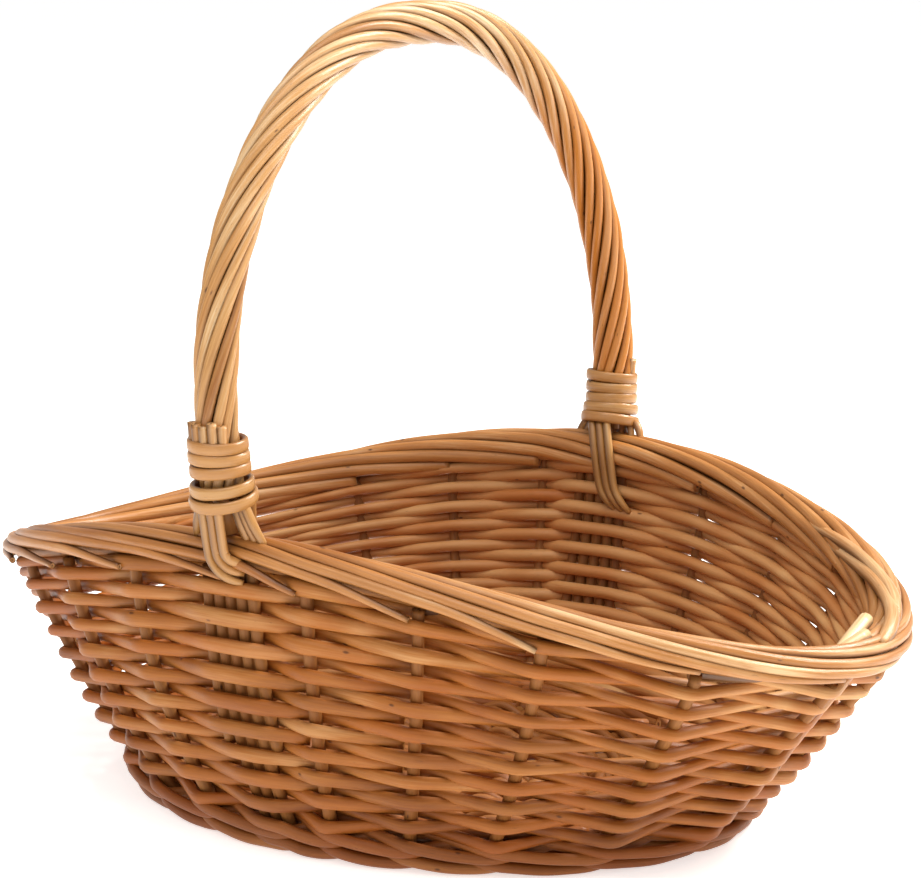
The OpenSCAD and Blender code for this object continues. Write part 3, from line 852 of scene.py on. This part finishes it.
def layLastRods(rods):
    # at the right end two straight butts stand up inside, and two tips come over the top
    for a, b, low, high, start, end, radius in border["butts"]:
        stops = [stop(borderPoint(a, low, start), up, radius * 0.85),
                 stop(borderPoint(b, high, end), up, radius)]
        rods.lay(bendPath(stops, 4, 4), shade=border["buttShade"], warmth=0, sides=12)
    for a, b, low, high, start, end, radius in border["tips"]:
        stops = []
        for n in range(13):
            k = n / 12
            r = mix(low, high, smooth(0, 0.45, k)) - 4 * smooth(0.85, 1, k)
            p = borderPoint(mix(a, b, k), r, mix(start, end, k))
            stops.append(stop(p, up, radius * mix(0.8, 1, k) * (1 - 0.25 * smooth(0.9, 1, k))))
        rods.lay(bendPath(stops, 4, 4, steps=3), shade=border["tipShade"],
                 warmth=border["tipWarmth"], sides=12)


def layBorderRods(name, first, count, cadNode):
    rods = RodBundle(name)
    steps = round(border["span"] / border["step"])
    for i in range(first, first + count):
        size = border["rodRadius"] * rods.dice.uniform(0.95, 1.04)
        start = border["startPhase"] * rods.dice.uniform(0.97, 1.06)
        end = border["phase"] * rods.dice.uniform(0.97, 1.06)
        stops = []
        for n in range(steps + 1):
            k = n / steps
            a = angleAt(i + k * border["span"])
            roll = k * (1 + border["taper"] / 2) - border["taper"] * k * k / 2
            # the last part leaves the roll and points down over the siding
            tip = max(0, k - border["tipFrom"]) / (1 - border["tipFrom"])
            # but stays close to it at the two ends of the basket
            tucked = smooth(border["tuckFrom"], border["tuckTo"], abs(sinDeg(a))) * tip
            ring = border["ring"] + border["tipOut"] * (tip - tucked) - border["tuckIn"] * tucked
            phase = mix(-start, end, roll)
            phase += border["tipPhase"] * (tip - border["tuckRoll"] * tucked)
            p = borderPoint(a, ring, phase)
            slim = (1 + border["taper"] * (0.5 - k)) * (1 - border["tipTaper"] * tip)
            stops.append(stop(p, p - rimPoint(a), size * slim))
        rods.lay(bendPath(stops, border["bend"], border["gap"], steps=3),
                 wander=border["wander"], sides=12, tone=borderTone)
    if first == 0:
        layLastRods(rods)
    rods.finish(name, willows["border"], "border", [cadNode])


def layBorderCore(name):
    rods = RodBundle(name)
    stops = [stop(rimPoint(angleAt(u / 2)), up, basket["coreRadius"])
             for u in range(2 * stakeCount)]
    rods.lay(bendPath(stops, 6, 8, closed=True, steps=3), closed=True)
    rods.finish(name, willows["stakes"], "border_core", ["border_core"])


layBorderRods("borderRodsFrontRight", 0, 6, "border_rods_front_right")
layBorderRods("borderRodsBackRight", 6, 5, "border_rods_back_right")
layBorderRods("borderRodsBackLeft", 11, 6, "border_rods_back_left")
layBorderRods("borderRodsFrontLeft", 17, 5, "border_rods_front_left")
layBorderCore("borderCore")
print("border ready")


# handle: a bow rod, and the strands of the rope laid round it

bow = {"height": 340, "power": 2.43, "swell": 13, "lean": 9, "radius": 4.7, "clear": 0.3,
       "gap": 8, "strands": 10, "strandRadius": 2.16, "ring": 7.4, "slim": 0.7, "lay": 175,
       "cover": 4.5, "ropeGap": 3.5, "turnDrift": 5, "ringDrift": 0.5, "samples": 900,
       "liftFront": 12, "liftBack": 2.5,
       # painted highlight, paler at the top, and warmer down the leg behind
       "topHighlight": 0.6, "allShade": 0.25, "backShade": 0.1, "backWarmth": 2,
       "frontCool": 0.5}


def bowPoint(t):
    m = signedPower(sinDeg(t), bow["power"])
    k = bow["swell"] / rimB
    y = -rimB * signedPower(cosDeg(t), bow["power"]) * (1 + 4 * k * m * (1 - m))
    return Vector((-bow["lean"] * m, y, mix(basket["rimHeight"], bow["height"], m)))


def bowAngle(z):
    part = (z - basket["rimHeight"]) / (bow["height"] - basket["rimHeight"])
    return math.degrees(math.asin(part ** (bow["power"] / 2)))


def bowPath(z0, z1, gap):
    # points of the bow's middle line at equal distances, and its length
    t0, t1 = bowAngle(z0), 180 - bowAngle(z1)
    samples = bow["samples"]
    fine = [bowPoint(mix(t0, t1, i / samples)) for i in range(samples + 1)]
    lengths = [0]
    for a, b in zip(fine, fine[1:]):
        lengths.append(lengths[-1] + (b - a).length)
    total = lengths[-1]
    count = math.ceil(total / gap)
    path, j = [], 0
    for i in range(count + 1):
        want = total * i / count
        while j < samples - 1 and lengths[j + 1] < want:
            j += 1
        path.append(fine[j].lerp(fine[j + 1], (want - lengths[j]) / (lengths[j + 1] - lengths[j])))
    return path, total


def bowArms(path, i):
    t = (path[min(i + 1, len(path) - 1)] - path[max(i - 1, 0)]).normalized()
    u = (lengthways - t * lengthways.dot(t)).normalized()
    return u, t.cross(u)


def layBow(name):
    rods = RodBundle(name)
    path, length = bowPath(borderTop + bow["clear"], borderTop + bow["clear"], bow["gap"])
    rods.lay([stop(p, lengthways, bow["radius"]) for p in path], sides=12)
    rods.finish(name, willows["stakes"], "bow", ["bow_rod"])


def ropeTone(p):
    # painted highlight: the top of the handle paler
    top, behind = smooth(220, 335, p.z), smooth(60, 130, p.y)
    shade = bow["topHighlight"] * top - bow["allShade"] + bow["backShade"] * behind
    return Vector((shade, bow["backWarmth"] * behind - bow["frontCool"] * (1 - behind), 0))


def layRope():
    path, length = bowPath(borderTop + bow["liftFront"] + bow["cover"],
                           borderTop + bow["liftBack"] + bow["cover"], bow["ropeGap"])
    for j in range(1, bow["strands"] + 1):
        rods = RodBundle("rope" + str(j))
        size = bow["strandRadius"] * rods.dice.uniform(0.93, 1.08)
        stops = []
        for i, p in enumerate(path):
            u, v = bowArms(path, i)
            k = i / (len(path) - 1)
            turn = 360 * (length * k / bow["lay"] + j / bow["strands"])
            turn += bow["turnDrift"] * noise.noise(Vector((k * 9, j * 3.7, 0)))
            arm = u * cosDeg(turn) + v * sinDeg(turn)
            r = bow["ring"] + bow["ringDrift"] * noise.noise(Vector((k * 12, j * 5.1, 4)))
            r -= bow["slim"] * smooth(0, -120, p.y)  # slimmer down the front leg
            stops.append(stop(p + arm * r, arm, size))
        rods.lay(stops, tone=ropeTone)
        rods.finish("ropeStrand%02d" % j, willows["rope"], "rope", ["rope_strand_%d" % j])


layBow("bowRod")
layRope()
print("rope ready")


# binding round each leg of the handle

binding = {"turns": 5, "high": 2.5, "thick": 1.35, "pitch": 5.1, "start": 2.4, "flare": 1.6,
           "gap": 2.0, "seat": 9.8, "steps": 28, "boxy": 2.9, "tilt": 0.5, "wobble": 0.25}


def onLeg(z, face):
    # middle of the leg at this height and the directions round it; face is -1 behind
    t = bowAngle(z)
    p, ahead = bowPoint(t), (bowPoint(t + 0.3) - bowPoint(t - 0.3)).normalized()
    p.y *= face
    ahead.y *= face
    return p, ahead.cross(lengthways).normalized() * face, ahead


def layBinding(name, face, lift, gap, cadNode):
    rods = RodBundle(name)
    for i in range(binding["turns"]):
        z = borderTop + lift + binding["pitch"] * i + binding["start"] + (gap if i > 1 else 0)
        p, out, ahead = onLeg(z, face)
        radius = binding["seat"] + binding["flare"] * max(0, 2 - i) / 2 + binding["thick"]
        start = rods.dice.uniform(150, 210)
        stops = []
        for n in range(binding["steps"]):
            w = start + 360 * n / binding["steps"]
            arm = lengthways * cosDeg(w) + out * sinDeg(w)
            tilt = binding["tilt"] * sinDeg(w + 70 * i)
            r = radius + binding["wobble"] * noise.noise(Vector((n * 0.3, i * 3.1, 0)))
            stops.append(stop(p + arm * r + ahead * tilt, arm, binding["thick"],
                              binding["high"] * (1 + 0.03 * sinDeg(3 * w))))
        rods.lay(stops, closed=True, sides=14, boxy=binding["boxy"])
    rods.finish(name, willows["binding"], "binding", [cadNode])


layBinding("bindingFront", 1, bow["liftFront"], binding["gap"], "binding_front")
layBinding("bindingBack", -1, bow["liftBack"], 0, "binding_back")


# foot rods: from under the binding over the border, outside and inside

foot = {"radius": 1.95, "pitch": 4.1, "seat": 12.2, "bendRadius": 6, "bendZ": 137,
        "turns": (0, 20, 42, 64, 84), "tuck": 5.5, "start": 2.3, "top": 10.8, "lean": 14,
        "aside": 4.5, "deep": 3, "endTaper": 0.35, "wander": 0.2,
        # share of the lean, height up the wall, and distance in from it
        "inner": ((0.5, 0.93, 10.8), (0.8, 0.88, 10.2), (1, 0.84, 6)),
        "beside": (-15.5, -11, 8, 11.5, 14.5), "sideRadius": 2.1, "gather": 0.66,
        "splay": 1.25, "sideTop": 1.5}


def outerPath(x, top):
    points = [Vector((x, top.y - foot["top"], top.z))]
    r = foot["bendRadius"] + foot["pitch"] - x
    for w in foot["turns"]:
        # under the border the rods turn along the wall and slip in above the siding
        out = mix(foot["seat"], foot["tuck"], (w / foot["turns"][-1]) ** 2)
        px, pz = x + r - r * cosDeg(w), foot["bendZ"] - r * sinDeg(w)
        a = angleForX(px, 1)
        points.append(Vector((px, -rimB * cosDeg(a) - out, pz)))
    return points


def innerPath(x, top):
    # down over the inside of the border, then along the wall and in between the rows
    points = [Vector((x, top.y + foot["top"], top.z)),
              Vector((x - foot["aside"], foot["seat"] - rimB, basket["rimHeight"] + foot["deep"]))]
    for k, s, off in foot["inner"]:
        a = angleForX(x - foot["lean"] * k, s)
        points.append(wallPoint(a, s) - wallNormal(a, s) * off)
    return points


def besidePath(x, top):
    # the other strands go down between the rods of the border
    return [Vector((x * foot["gather"], top.y - foot["sideTop"], top.z)),
            Vector((x, top.y, borderTop + foot["deep"])),
            Vector((x * foot["splay"], -rimB, basket["rimHeight"] + foot["deep"]))]


def layFootRods(name, inner, lift, behind, cadNode):
    rods = RodBundle(name)
    top = bowPoint(bowAngle(borderTop + lift + foot["start"]))
    paths = [(innerPath if inner else outerPath)(k * foot["pitch"], top) for k in (-1, 0, 1)]
    sizes = [foot["radius"]] * len(paths)
    if inner:
        paths += [besidePath(x, top) for x in foot["beside"]]
        sizes += [foot["sideRadius"]] * len(foot["beside"])
    for path, size in zip(paths, sizes):
        if behind:
            for p in path:
                p.xy = -p.xy
        last = len(path) - 1
        stops = [stop(p, lengthways, size * (1 - foot["endTaper"] * (k == last)))
                 for k, p in enumerate(path)]
        rods.lay(bendPath(stops, 6, 2.5, steps=4), wander=foot["wander"])
    rods.finish(name, willows["binding"], "foot_rods", [cadNode])


layFootRods("footRodsFrontOuter", False, bow["liftFront"], False, "foot_rods_front_outer")
layFootRods("footRodsFrontInner", True, bow["liftFront"], False, "foot_rods_front_inner")
layFootRods("footRodsBackOuter", False, bow["liftBack"], True, "foot_rods_back_outer")
layFootRods("footRodsBackInner", True, bow["liftBack"], True, "foot_rods_back_inner")


# cut ends of strands above the binding

cutEnds = {"radius": 2.0, "ring": 9.5, "height": 7.4, "uneven": 0.2, "hidden": 4, "lean": 0.8,
           "anglesFront": [230, 253, 276, 299, 322], "anglesBack": [345]}


def layCutEnds(name, face, angles, lift, gap, cadNode):
    rods = RodBundle(name)
    p, out, ahead = onLeg(borderTop + lift + binding["pitch"] * binding["turns"] + gap, face)
    for w in angles:
        arm = lengthways * cosDeg(w) + out * sinDeg(w)
        tall = cutEnds["height"] * (1 - cutEnds["uneven"] * abs(sinDeg(3 * w)))
        at = p + arm * cutEnds["ring"]
        lean = arm * rods.dice.uniform(0, cutEnds["lean"])
        stops = [stop(q, lengthways, cutEnds["radius"])
                 for q in (at - ahead * cutEnds["hidden"], at + ahead * tall / 2,
                           at + ahead * tall + lean)]
        rods.lay(bendPath(stops, 2, 3), sides=12)
    rods.finish(name, willows["rope"], "cut_ends", [cadNode])


layCutEnds("cutEndsFront", 1, cutEnds["anglesFront"], bow["liftFront"], binding["gap"],
           "cut_ends_front")
layCutEnds("cutEndsBack", -1, cutEnds["anglesBack"], bow["liftBack"], 0, "cut_ends_back")
print("feet ready")


# camera, floor and light, in metres

view = {"azimuth": 34.771, "elevation": 10.26, "distance": 1.2797, "lens": 113.74,
        "sensor": 36, "aside": 0.01012, "height": 0.1588}
studio = {"sky": 0.43, "floor": (244, 243, 240), "floorSize": 30, "floorRough": 0.9,
          "glow": 0.62}
lights = {
    # right, ahead and up from the middle of the basket, then watts, size and tint
    "keyLight": ((1.3, 0.5, 1.2), 44, 0.7, (1, 0.96, 0.9)),
    "topLight": ((0, -0.5, 1.8), 22, 1.4, (1, 0.98, 0.95)),
    "fillLight": ((-0.9, -1.5, 1.3), 9, 1.6, (1, 0.98, 0.95)),
}

a, e = math.radians(view["azimuth"]), math.radians(view["elevation"])
right = Vector((math.cos(a), math.sin(a), 0))
ahead = Vector((-math.sin(a), math.cos(a), 0))
back = Vector((math.sin(a) * math.cos(e), -math.cos(a) * math.cos(e), math.sin(e)))
target = right * view["aside"] + up * view["height"]

camera = addObject("camera", bpy.data.cameras.new("camera"))
camera.data.sensor_width = view["sensor"]
camera.data.lens = view["lens"]
camera.location = target + back * view["distance"]
camera.rotation_mode = "QUATERNION"
camera.rotation_quaternion = (-back).to_track_quat("-Z", "Y")
bpy.context.scene.camera = camera

floorMesh = bmesh.new()
bmesh.ops.create_grid(floorMesh, x_segments=2, y_segments=2, size=studio["floorSize"])
floorData = bpy.data.meshes.new("floor")
floorMesh.to_mesh(floorData)
floorMesh.free()
floor = addObject("floor", floorData)
floorPaint = bpy.data.materials.new("floorPaint")
floorPaint.use_nodes = True
paint = floorPaint.node_tree.nodes["Principled BSDF"]
paint.inputs["Base Color"].default_value = colour(*studio["floor"])
paint.inputs["Roughness"].default_value = studio["floorRough"]
paint.inputs["Emission Color"].default_value = (1, 1, 1, 1)
paint.inputs["Emission Strength"].default_value = studio["glow"]
floorData.materials.append(floorPaint)

for name, (place, energy, size, tint) in lights.items():
    light = bpy.data.lights.new(name, "AREA")
    light.energy, light.size, light.color = energy, size, tint
    lamp = addObject(name, light)
    lamp.location = target + right * place[0] + ahead * place[1] + up * place[2]
    lamp.rotation_mode = "QUATERNION"
    lamp.rotation_quaternion = (target - lamp.location).to_track_quat("-Z", "Y")

world = bpy.data.worlds.new("studio")
world.use_nodes = True
sky = world.node_tree.nodes["Background"]
sky.inputs["Color"].default_value = (1, 1, 1, 1)
sky.inputs["Strength"].default_value = studio["sky"]
bpy.context.scene.world = world
bpy.context.scene.view_settings.view_transform = "Standard"
print("studio ready")
